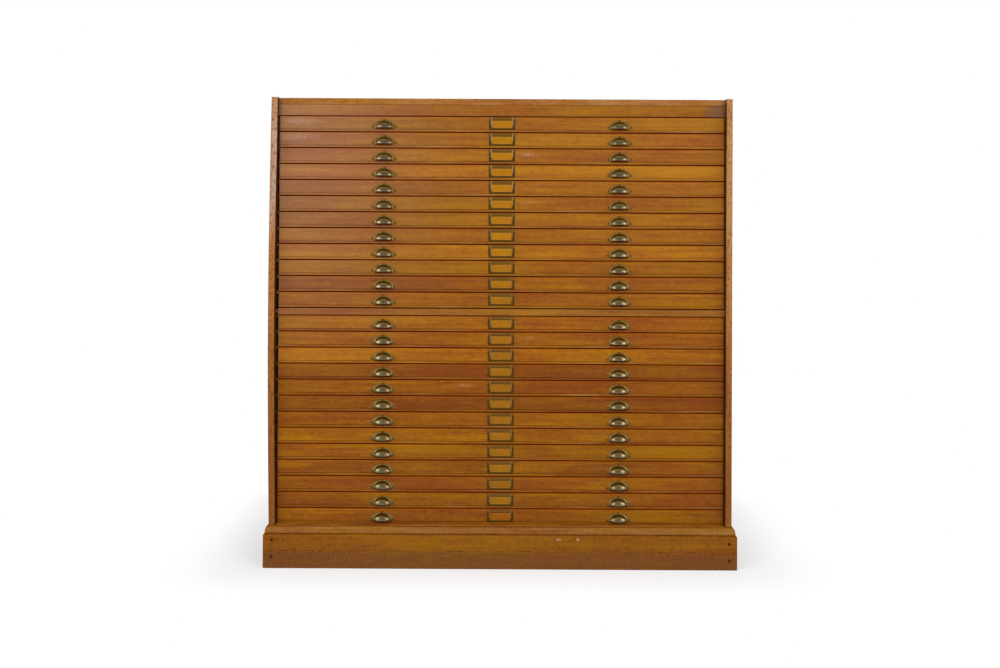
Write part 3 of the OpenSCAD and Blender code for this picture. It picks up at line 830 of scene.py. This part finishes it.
def open_edges(bm):
    return [e for e in bm.edges if e.is_boundary]


def wear_and_shade_layer(bm, amount):
    """Marks each vertex with its wear and painted shade, from -1 for dirt and painted shade to 1
    for rubbed.
    """
    layer = bm.verts.layers.float.new("wear_and_shade")
    for vert in bm.verts:
        vert[layer] = amount(vert.co)


def new_vert(bm, x, y, z):
    return bmesh.ops.create_vert(bm, co=(x, y, z))["vert"]


def thicken(bm, faces, move):
    """Gives flat faces a thickness by drawing them out, and returns the faces at the far side."""
    made = bmesh.ops.extrude_face_region(bm, geom=faces)["geom"]
    bmesh.ops.translate(bm, vec=move, verts=verts_of(made))
    return [g for g in made if isinstance(g, bmesh.types.BMFace)]


def soften(bm, edges, width, segments=2):
    bmesh.ops.bevel(
        bm, geom=edges, offset=width, segments=segments, profile=0.5, affect="EDGES",
        material=-1,
    )


def outline_of(faces):
    """Edges round a patch of faces."""
    patch = set(faces)
    edges = {e for f in faces for e in f.edges}
    return [e for e in edges if sum(g in patch for g in e.link_faces) == 1]


def shell(bm, thickness):
    """Gives a curved sheet its thickness."""
    bmesh.ops.recalc_face_normals(bm, faces=bm.faces[:])
    bmesh.ops.solidify(bm, geom=bm.faces[:], thickness=thickness)
    return bm


def disc(radius, depth, segments, place=UPRIGHT):
    """Flat disc in front of y = 0, and its front face."""
    bm = bmesh.new()
    bmesh.ops.create_circle(bm, cap_ends=True, segments=segments, radius=radius, matrix=place)
    return bm, thicken(bm, bm.faces[:], (0, -depth, 0))


def rounded_block(low, high, radius):
    low, high = Vector(low), Vector(high)
    bm = bmesh.new()
    size = Matrix.Diagonal((*(high - low), 1))
    bmesh.ops.create_cube(bm, size=1.0, matrix=Matrix.Translation((low + high) / 2) @ size)
    soften(bm, bm.edges[:], radius)
    return bm


# Cup pulls, modelled with the middle of the lip at the origin


class Arch:
    """Low arch: a wide crown between two end curves that meet it smoothly."""

    end_steps = 6
    crown_steps = 14

    def __init__(self, half_width, rise, end_radius):
        end_x = half_width - end_radius
        crown_radius = (end_x**2 + rise**2 - end_radius**2) / (2 * (rise - end_radius))
        crown_z = rise - crown_radius
        lean = math.atan2(end_x, -crown_z)
        end_turn = QUARTER_TURN - lean
        self.end_radius = end_radius
        self.crown_radius = crown_radius
        self.arcs = (
            ((end_x, 0, 0), end_turn, self.end_steps),
            ((0, 0, crown_z), 2 * lean, self.crown_steps),
            ((-end_x, 0, 0), end_turn, self.end_steps),
        )

    def sweep(self, bm, geom):
        """Spins what stands at the arch's right end over the crown to its left end."""
        for middle, turn, steps in self.arcs:
            geom = bmesh.ops.spin(
                bm, geom=geom, cent=middle, axis=(0, -1, 0), angle=turn, steps=steps
            )["geom_last"]

    def outside(self, point):
        """How far a point lies outside the arch."""
        end_x, turn = self.arcs[0][0][0], self.arcs[0][1]
        crown_z = self.arcs[1][0][2]
        over_end = math.atan2(max(point.z, 0.0), abs(point.x) - end_x) < turn
        middle = (end_x, 0.0) if over_end else (0.0, crown_z)
        radius = self.end_radius if over_end else self.crown_radius
        return math.hypot(abs(point.x) - middle[0], max(point.z, 0.0) - middle[1]) - radius


def cup_shell(pull, arch):
    """The cup is the arch turned a quarter round the line of its lip."""
    bm = bmesh.new()
    arch.sweep(bm, new_vert(bm, pull.half_width, 0, 0))
    bmesh.ops.spin(
        bm, geom=bm.verts[:] + bm.edges[:], cent=(0, 0, 0), axis=(1, 0, 0),
        angle=QUARTER_TURN, steps=12,
    )
    bmesh.ops.remove_doubles(bm, verts=bm.verts[:], dist=TOUCH)
    return shell(bm, pull.wall)


def cup_bead(pull, arch):
    """Round bead along the lip."""
    bm = bmesh.new()
    place = Matrix.Translation((pull.half_width - BEAD_SINK, BEAD_RADIUS, 0))
    bmesh.ops.create_circle(bm, segments=10, radius=BEAD_RADIUS, matrix=place)
    arch.sweep(bm, bm.verts[:] + bm.edges[:])
    bmesh.ops.holes_fill(bm, edges=open_edges(bm))
    bmesh.ops.rotate(bm, verts=bm.verts[:], matrix=Matrix.Rotation(QUARTER_TURN, 3, "X"))
    return bm


def cup_cove(pull, arch):
    """Hollow curve from the foot of the cup out to the flange."""
    bm = bmesh.new()
    foot = pull.half_width - COVE_SINK
    level = -FLANGE_T - pull.cove
    bmesh.ops.spin(
        bm, geom=new_vert(bm, foot, level, 0), cent=(foot + pull.cove, level, 0),
        axis=(0, 0, 1), angle=-QUARTER_TURN, steps=6,
    )
    arch.sweep(bm, bm.verts[:] + bm.edges[:])
    return shell(bm, COVE_T)


def rim_of(pull):
    """Outline of the flange: a low arch from wing tip to wing tip."""
    return Arch(pull.width / 2, pull.rise + FLANGE_RIM, WING_END_RADIUS)


def flange(pull, arch):
    """Plate against the drawer, open behind the cup."""
    bm = bmesh.new()
    rim_of(pull).sweep(bm, new_vert(bm, pull.width / 2, 0, 0))
    arch.sweep(bm, new_vert(bm, pull.half_width - pull.wall, 0, 0))
    bmesh.ops.bridge_loops(bm, edges=bm.edges[:])
    feet = [e for e in open_edges(bm) if all(abs(v.co.z) < TOUCH / 10 for v in e.verts)]
    drawn = bmesh.ops.extrude_edge_only(bm, edges=feet)["geom"]
    bmesh.ops.translate(bm, vec=(0, 0, -WING_DROP), verts=verts_of(drawn))
    front = thicken(bm, bm.faces[:], (0, -FLANGE_T, 0))
    soften(bm, outline_of(front), SOFT_EDGE)
    return bm


def lug(pull):
    """Round ear over the cup, which takes the top screw."""
    place = Matrix.Translation((0, 0, pull.rise + LUG_UP))
    bm, front = disc(LUG_RADIUS, FLANGE_T + LUG_STEP, 20, place @ UPRIGHT)
    soften(bm, outline_of(front), SOFT_EDGE)
    return bm


def slotted_head(radius, rise, turn):
    """Round screw head with a slot: two halves on a thin disc, standing on y = 0."""
    bm = bmesh.new()
    ball = (radius**2 + rise**2) / (2 * rise)
    lean = math.asin(radius / ball)
    for side in (1, -1):
        half = bmesh.new()
        crown = new_vert(half, 0, -rise, 0)
        bmesh.ops.spin(
            half, geom=crown, cent=(0, ball - rise, 0), axis=(0, 0, 1), angle=-lean, steps=4
        )
        bmesh.ops.spin(
            half, geom=half.verts[:] + half.edges[:], cent=(0, 0, 0), axis=(0, 1, 0),
            angle=2 * math.pi, steps=16, use_merge=True,
        )
        bmesh.ops.remove_doubles(half, verts=half.verts[:], dist=TOUCH)
        bmesh.ops.bisect_plane(
            half, geom=half.verts[:] + half.edges[:] + half.faces[:],
            plane_co=(side * radius * 0.11, 0, 0), plane_no=(side, 0, 0), clear_inner=True,
        )
        bmesh.ops.holes_fill(half, edges=open_edges(half))
        join_into(bm, half)
    join_into(bm, disc(radius * 0.96, rise * 0.25, 16)[0])
    bmesh.ops.rotate(bm, verts=bm.verts[:], matrix=Matrix.Rotation(turn, 3, "Y"))
    return bm


def screw_places(pull):
    """Middle of each screw of a pull, over its lip, and how far its slot is turned."""
    wing = pull.width / 2 - WING_SCREW_INSET
    return (
        (0, pull.rise + LUG_UP, 0.5), (wing, WING_SCREW_UP, 1.2), (-wing, WING_SCREW_UP, 2.6),
    )


def pull_mesh(pull):
    """One cup pull with its three screws."""
    arch = Arch(pull.half_width, pull.rise, pull.end_radius)
    bm = bmesh.new()
    for shape in (cup_shell, cup_bead, cup_cove, flange):
        join_into(bm, shape(pull, arch))
    join_into(bm, lug(pull))
    for x, z, turn in screw_places(pull):
        head = slotted_head(SCREW_RADIUS, SCREW_RISE, turn)
        join_into(bm, head, Matrix.Translation((x, -FLANGE_T, z)))
    wear_and_shade_layer(bm, lambda place: pull_wear_and_shade(place, pull, arch))
    return mesh_of(bm, "pull")


def pull_wear_and_shade(place, pull, arch):
    """The cup is bright where it bulges and painted dark above as shade, its cove rubbed, its
    plate dull.
    """
    out = -place.y
    if out > FLANGE_T + pull.cove:
        lean = math.degrees(math.atan2(place.z, out))
        # Painted shade: the cup goes dark above the lean
        return min(1.0, max(-1.0, (SHADE_LEAN - lean) / SHADE_FADE))
    if is_screw(place, pull):
        return -0.5
    beyond = arch.outside(place)
    if out > FLANGE_T + 0.0002:
        return 1.0 if beyond > 0.0004 else -1.0
    if rim_of(pull).outside(place) > -0.0006:
        return 0.1
    return -0.7 if beyond < 0.0005 else -0.2


def is_screw(place, pull):
    return any(
        math.hypot(place.x - x, place.z - z) < LUG_RADIUS + 0.0005
        for x, z, turn in screw_places(pull)
    )


# Label frames, modelled with the middle of the lower edge at the origin


def label_frame(label):
    """Bent sheet round an opening, closed below and at the sides, with two pinned tabs."""
    half = LABEL_RAISED_HALF_W
    bm = bmesh.new()
    place = Matrix.Translation((0, -LABEL_DEPTH, label.height / 2)) @ UPRIGHT
    size = Matrix.Diagonal((2 * half, label.height, 1, 1))
    bmesh.ops.create_grid(bm, x_segments=1, y_segments=1, size=0.5, matrix=place @ size)
    sideways = [side * w for side in (-1, 1) for w in (WINDOW_HALF_W, half - SHEET_T)]
    cuts = [((x, 0, 0), (1, 0, 0)) for x in sideways]
    cuts += [((0, 0, z), (0, 0, 1)) for z in (SHEET_T, WINDOW_LOW, WINDOW_HIGH)]
    for point, normal in cuts:
        everything = bm.verts[:] + bm.edges[:] + bm.faces[:]
        bmesh.ops.bisect_plane(bm, geom=everything, plane_co=point, plane_no=normal)
    window = [f for f in bm.faces if in_window(f.calc_center_median())]
    bmesh.ops.delete(bm, geom=window, context="FACES")
    front = bm.faces[:]
    back = thicken(bm, front, (0, SHEET_T, 0))
    rim = [f for f in back if is_wall(f.calc_center_median(), half)]
    thicken(bm, rim, (0, LABEL_DEPTH - SHEET_T, 0))
    bmesh.ops.recalc_face_normals(bm, faces=bm.faces[:])
    inner = [e for e in outline_of(front) if in_window(middle_of(e), 0.0001)]
    soften(bm, inner, WINDOW_BEVEL, 1)
    soften(bm, [e for e in bm.edges if is_corner(e, half, label.height)], FRAME_EDGE)
    whole = bmesh.new()
    join_into(whole, bm)
    for side in (-1, 1):
        near_end, far_end = sorted((side * (half - SHEET_T / 2), side * label.width / 2))
        low = (near_end, -SHEET_T, TAB_INSET)
        high = (far_end, 0, label.height - TAB_INSET)
        join_into(whole, rounded_block(low, high, SOFT_EDGE))
        pin_x = side * (half + label.width / 2) / 2
        pin_place = Matrix.Translation((pin_x, -SHEET_T, label.height / 2))
        join_into(whole, slotted_head(PIN_RADIUS, PIN_RISE, 0.3), pin_place)
    return whole


def middle_of(edge):
    return (edge.verts[0].co + edge.verts[1].co) / 2


def in_window(point, grow=0.0):
    beside = abs(point.x) < WINDOW_HALF_W + grow
    return beside and WINDOW_LOW - grow < point.z < WINDOW_HIGH + grow


def is_wall(point, half):
    return abs(point.x) > half - SHEET_T or point.z < SHEET_T


def is_corner(edge, half, height):
    """Whether an edge of the front lies on the outside of the frame."""
    ends = [v.co for v in edge.verts]
    if edge.is_boundary or any(p.y > TOUCH - LABEL_DEPTH for p in ends):
        return False
    upright = all(abs(abs(p.x) - half) < TOUCH for p in ends)
    return upright or any(all(abs(p.z - z) < TOUCH for p in ends) for z in (0, height))


# Operators


class CABINET_OT_carcass(bpy.types.Operator):
    """Varnish the panels, the top, the rails and the plinth"""

    bl_idname = "cabinet.carcass"
    bl_label = "Carcass"

    def execute(self, context):
        pine = context.scene.cabinet_pine
        assign("left_side", side_finish("pine_left_side", -1, pine, 1))
        assign("right_side", side_finish("pine_right_side", 1, pine, 2))
        assign("top_board", top_finish(pine))
        assign("top_rail", rail_finish("pine_top_rail", pine, 4, 1.04, 0.0))
        assign("middle_rails", rail_finish("pine_middle_rails", pine, 5, 0.96, 0.06))
        assign("plinth_front", plinth_finish("pine_plinth_front", "X", pine, 6))
        assign("plinth_returns", plinth_finish("pine_plinth_returns", "Y", pine, 7))
        return {"FINISHED"}


class CABINET_OT_inside(bpy.types.Operator):
    """Give the back, the bottom and the runners bare pine"""

    bl_idname = "cabinet.inside"
    bl_label = "Inside and back"

    def execute(self, context):
        pine = context.scene.cabinet_pine
        assign("bottom_board", bottom_finish(pine))
        assign("back_boards", bare_finish("pine_back_boards", "Z", pine, 12))
        assign("drawer_runners", bare_finish("pine_runners", "Y", pine, 13))
        return {"FINISHED"}


class CABINET_OT_drawers(bpy.types.Operator):
    """Finish each drawer from its own board"""

    bl_idname = "cabinet.drawers"
    bl_label = "Drawers"

    def execute(self, context):
        scene = context.scene
        for n in DRAWERS:
            finish = drawer_finish(n, scene.cabinet_pine, scene.cabinet_pull)
            assign(drawer_name(n) + "_box", finish)
        return {"FINISHED"}


class CABINET_OT_pulls(bpy.types.Operator):
    """Model the cup pulls, two to a drawer"""

    bl_idname = "cabinet.pulls"
    bl_label = "Cup pulls"

    def execute(self, context):
        pull = context.scene.cabinet_pull
        material = brass_finish(context.scene.cabinet_brass)
        one = pull_mesh(pull)
        for n in DRAWERS:
            drawer = drawer_name(n)
            bm = bmesh.new()
            for side in (-1, 1):
                start = len(bm.verts)
                bm.from_mesh(one)
                bm.verts.ensure_lookup_table()
                place = drawer_floor(n) + Vector((side * pull.spacing / 2, 0, pull.lip_height))
                bmesh.ops.translate(bm, vec=place, verts=bm.verts[start:])
            piece = piece_from(bm, drawer + "_pulls", drawer, material)
            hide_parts(drawer + "_fittings")
        bpy.data.meshes.remove(one)
        return {"FINISHED"}


class CABINET_OT_labels(bpy.types.Operator):
    """Model the label frames and their cards"""

    bl_idname = "cabinet.labels"
    bl_label = "Label frames and cards"

    def execute(self, context):
        label = context.scene.cabinet_label
        for n in DRAWERS:
            drawer = drawer_name(n)
            place = drawer_floor(n) + Vector((0, 0, LABEL_BOTTOM))
            bm = label_frame(label)
            bmesh.ops.translate(bm, vec=place, verts=bm.verts[:])
            material = label_finish(n, place.z, context.scene.cabinet_brass)
            piece = piece_from(bm, drawer + "_label_frame", drawer, material)
            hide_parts(drawer + "_fittings")
            card = rounded_block(CARD_LOW, CARD_HIGH, CARD_EDGE)
            bmesh.ops.translate(card, vec=place, verts=card.verts[:])
            paper = card_finish(n, label, place.z + WINDOW_LOW, place.z + WINDOW_HIGH)
            piece_from(card, drawer + "_card", drawer, paper)
        return {"FINISHED"}


class CABINET_OT_stage(bpy.types.Operator):
    """Set the floor, the light and the camera"""

    bl_idname = "cabinet.stage"
    bl_label = "Stage"

    def execute(self, context):
        stage = context.scene.cabinet_stage
        floor_sheet(stage)
        sky(context.scene, stage)
        for light in LIGHTS:
            softbox(*light)
        camera(context.scene, stage)
        return {"FINISHED"}


MIDDLE = (0.0, FRONT_PLANE, 0.75)
FLOOR_FADE = 0.3
CAMERA_PLACE = (-0.006, FRONT_PLANE - 3.6, 0.933)
CAMERA_TURN = (-0.0012, 0.01085, 0.0052)
CAMERA_SHIFT = (0.0020, -0.0998)

# Name, place, target, size and power of each light, and whether reflections show it.
# The lights in front are left out of reflections, as behind a polarising sheet.
LIGHTS = (
    ("key_light", (-2.0, -4.3, 2.2), MIDDLE, (0.9, 0.9), 78, False),
    ("fill_light", (1.9, -4.4, 2.4), MIDDLE, (0.9, 0.9), 80, False),
    ("front_light", (0.0, -4.6, 3.6), MIDDLE, (3.0, 1.4), 35, False),
    ("left_light", (-3.0, -1.8, 1.8), MIDDLE, (1.8, 1.3), 36, True),
    ("right_light", (3.0, -1.8, 1.7), MIDDLE, (1.8, 1.3), 36, True),
    ("top_light", (0.0, -1.8, 3.8), (0.0, 0.0, 0.7), (2.6, 1.6), 8, False),
    ("rear_light", (0.6, 3.6, 2.6), (0.0, 0.4, 0.7), (1.8, 1.3), 55, False),
)


def floor_sheet(stage):
    """Pale floor that fades into the white behind it."""
    bm = bmesh.new()
    bmesh.ops.create_grid(bm, x_segments=1, y_segments=1, size=60)
    mesh = mesh_of(bm, "floor")
    f = Finish("pale_floor")
    x, y, z = f.place()
    beside = (abs(x) - CAD_BOX[1][0]).most(0.0)
    beyond = (abs(y) - CAD_BOX[1][1]).most(0.0)
    reach = (beside * beside + beyond * beyond) ** 0.5
    seen = f.node("ShaderNodeLightPath", output="Is Camera Ray")
    paint = f.node("ShaderNodeBsdfDiffuse", None, {"Color": (*stage.floor, 1.0)})
    white = f.node("ShaderNodeEmission", None, {"Color": (1, 1, 1, 1), "Strength": 1.0})
    fade = f.ease(reach, 0.0, FLOOR_FADE, 0.5, 1.0) * seen
    f.close(f.node("ShaderNodeMixShader", None, {0: fade, 1: paint, 2: white}))
    mesh.materials.append(f.material)
    put_in_scene("floor", mesh)


def sky(scene, stage):
    """Even light, which looks white behind the cabinet whatever its strength."""
    world = bpy.data.worlds.new("studio")
    world.use_nodes = True
    tree = world.node_tree
    tree.nodes.clear()
    out = tree.nodes.new("ShaderNodeOutputWorld")
    mixed = tree.nodes.new("ShaderNodeMixShader")
    ray = tree.nodes.new("ShaderNodeLightPath")
    tree.links.new(ray.outputs["Is Camera Ray"], mixed.inputs[0])
    for socket, strength in ((1, stage.sky), (2, 1.0)):
        light = tree.nodes.new("ShaderNodeBackground")
        light.inputs["Strength"].default_value = strength
        light.inputs["Color"].default_value = (1, 1, 1, 1)
        tree.links.new(light.outputs[0], mixed.inputs[socket])
    tree.links.new(mixed.outputs[0], out.inputs["Surface"])
    scene.world = world
    scene.view_settings.view_transform = "Standard"


def softbox(name, place, target, size, power, reflected):
    light = bpy.data.lights.new(name, "AREA")
    light.shape = "RECTANGLE"
    light.size, light.size_y = size
    light.energy = power
    lamp = put_in_scene(name, light)
    lamp.location = place
    lamp.visible_glossy = reflected
    lamp.rotation_mode = "QUATERNION"
    lamp.rotation_quaternion = (Vector(target) - Vector(place)).to_track_quat("-Z", "Y")


def camera(scene, stage):
    """Camera at the place of the photograph's, turned and rolled as that one was."""
    data = bpy.data.cameras.new("camera")
    data.sensor_width = 36
    data.lens = stage.focal
    data.shift_x, data.shift_y = CAMERA_SHIFT
    data.clip_end = 200
    yaw, tilt, roll = CAMERA_TURN
    side = Vector((math.cos(yaw), -math.sin(yaw), 0))
    level = math.cos(tilt)
    ahead = Vector((math.sin(yaw) * level, math.cos(yaw) * level, math.sin(tilt)))
    up = side.cross(ahead)
    right = side * math.cos(roll) + up * math.sin(roll)
    top = up * math.cos(roll) - side * math.sin(roll)
    turn = Matrix((right, top, -ahead)).transposed()
    viewer = put_in_scene("camera", data)
    viewer.matrix_world = Matrix.Translation(CAMERA_PLACE) @ turn.to_4x4()
    scene.camera = viewer


class CABINET_PT_panel(bpy.types.Panel):
    """Pieces of the cabinet, in the order in which they are made"""

    bl_label = "Plan cabinet"
    bl_space_type = "VIEW_3D"
    bl_region_type = "UI"
    bl_category = "Cabinet"

    def draw(self, context):
        for operator in OPERATORS:
            self.layout.operator(operator.bl_idname)


OPERATORS = (
    CABINET_OT_carcass,
    CABINET_OT_inside,
    CABINET_OT_drawers,
    CABINET_OT_pulls,
    CABINET_OT_labels,
    CABINET_OT_stage,
)
SETTINGS = {
    "cabinet_pine": PineSettings,
    "cabinet_brass": BrassSettings,
    "cabinet_pull": PullSettings,
    "cabinet_label": LabelSettings,
    "cabinet_stage": StageSettings,
}


def register():
    for group in (*SETTINGS.values(), *OPERATORS, CABINET_PT_panel):
        bpy.utils.register_class(group)
    for name, group in SETTINGS.items():
        setattr(bpy.types.Scene, name, PointerProperty(type=group))


def unregister():
    for name in SETTINGS:
        delattr(bpy.types.Scene, name)
    for group in (CABINET_PT_panel, *reversed(OPERATORS), *reversed(SETTINGS.values())):
        bpy.utils.unregister_class(group)


def main():
    register()
    for operator in OPERATORS:
        group, name = operator.bl_idname.split(".")
        getattr(getattr(bpy.ops, group), name)()


if __name__ == "__main__":
    main()
